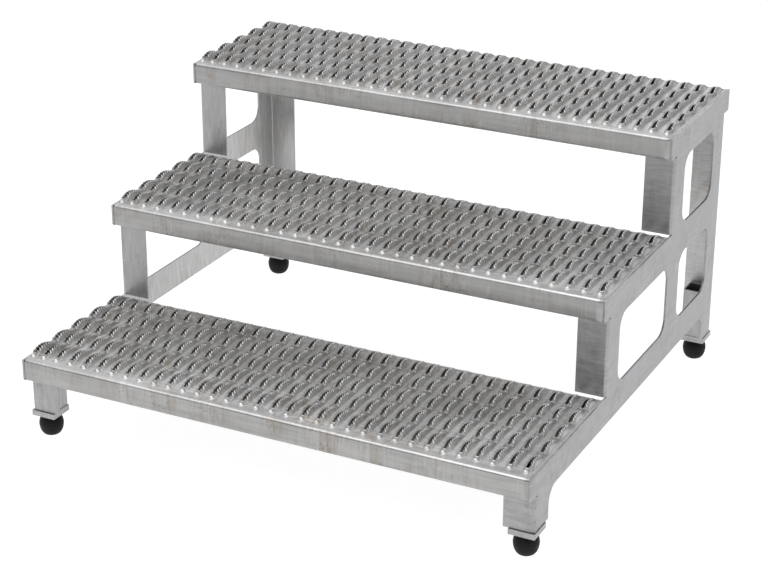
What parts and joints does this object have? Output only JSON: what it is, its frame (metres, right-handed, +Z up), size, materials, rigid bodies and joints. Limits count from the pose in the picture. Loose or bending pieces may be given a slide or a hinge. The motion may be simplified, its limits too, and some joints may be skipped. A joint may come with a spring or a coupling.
{
  "type": "mounting block",
  "caption": "Stepped aluminium mounting block with serrated, slotted plank treads, open sheet side frames and screw-in rubber levelling feet.",
  "frame": {"origin": "on the floor, below the centre of the bounding box", "axes": "+X along the treads, towards the right side as seen by a person about to climb; +Y from the lowest step towards the highest; +Z up"},
  "size_m": [0.9172, 0.8606, 0.5122],
  "materials": {
    "frame_aluminium": "mill finish sheet, satin, with faint rolling grain",
    "tread_aluminium": "mill finish, cold-formed and serrated, with fine tool marks",
    "tube_aluminium": "mill finish extrusion and sawn plate, satin",
    "foot_rubber": "matt black moulded rubber",
    "zinc_steel": "bright zinc plated"
  },
  "bodies": {
    "stand": {"left_side_frame": "frame_aluminium", "right_side_frame": "frame_aluminium", "tread_bottom": "tread_aluminium", "tread_middle": "tread_aluminium", "tread_top": "tread_aluminium", "leg_tube_front_left": "tube_aluminium", "leg_tube_front_right": "tube_aluminium", "leg_tube_rear_left": "tube_aluminium", "leg_tube_rear_right": "tube_aluminium", "foot_plate_front_left": "tube_aluminium", "foot_plate_front_right": "tube_aluminium", "foot_plate_rear_left": "tube_aluminium", "foot_plate_rear_right": "tube_aluminium", "foot_nut_front_left": "zinc_steel", "foot_nut_front_right": "zinc_steel", "foot_nut_rear_left": "zinc_steel", "foot_nut_rear_right": "zinc_steel"},
    "foot_front_left": {"rubber_foot_front_left": "foot_rubber"},
    "stud_front_left": {"foot_stud_front_left": "zinc_steel"},
    "foot_front_right": {"rubber_foot_front_right": "foot_rubber"},
    "stud_front_right": {"foot_stud_front_right": "zinc_steel"},
    "foot_rear_left": {"rubber_foot_rear_left": "foot_rubber"},
    "stud_rear_left": {"foot_stud_rear_left": "zinc_steel"},
    "foot_rear_right": {"rubber_foot_rear_right": "foot_rubber"},
    "stud_rear_right": {"foot_stud_rear_right": "zinc_steel"}
  },
  "joints": [
    {"name": "foot_travel_front_left", "type": "slide", "parent": "stand", "child": "foot_front_left", "axis": [0, 0, -1], "range_m": [0, 0.01904]},
    {"name": "stud_turn_front_left", "type": "hinge", "parent": "foot_front_left", "child": "stud_front_left", "pos_m": [-0.43633, -0.3894, 0.06], "axis": [0, 0, -1], "range_deg": [0, 4320]},
    {"name": "foot_travel_front_right", "type": "slide", "parent": "stand", "child": "foot_front_right", "axis": [0, 0, -1], "range_m": [0, 0.01904]},
    {"name": "stud_turn_front_right", "type": "hinge", "parent": "foot_front_right", "child": "stud_front_right", "pos_m": [0.43633, -0.3894, 0.06], "axis": [0, 0, -1], "range_deg": [0, 4320]},
    {"name": "foot_travel_rear_left", "type": "slide", "parent": "stand", "child": "foot_rear_left", "axis": [0, 0, -1], "range_m": [0, 0.01904]},
    {"name": "stud_turn_rear_left", "type": "hinge", "parent": "foot_rear_left", "child": "stud_rear_left", "pos_m": [-0.43633, 0.3924, 0.06], "axis": [0, 0, -1], "range_deg": [0, 4320]},
    {"name": "foot_travel_rear_right", "type": "slide", "parent": "stand", "child": "foot_rear_right", "axis": [0, 0, -1], "range_m": [0, 0.01904]},
    {"name": "stud_turn_rear_right", "type": "hinge", "parent": "foot_rear_right", "child": "stud_rear_right", "pos_m": [0.43633, 0.3924, 0.06], "axis": [0, 0, -1], "range_deg": [0, 4320]}
  ],
  "couplings": [
    {"joint": "stud_turn_front_left", "follows": "foot_travel_front_left", "rad_per_m": 3957.9},
    {"joint": "stud_turn_front_right", "follows": "foot_travel_front_right", "rad_per_m": 3957.9},
    {"joint": "stud_turn_rear_left", "follows": "foot_travel_rear_left", "rad_per_m": 3957.9},
    {"joint": "stud_turn_rear_right", "follows": "foot_travel_rear_right", "rad_per_m": 3957.9}
  ]
}
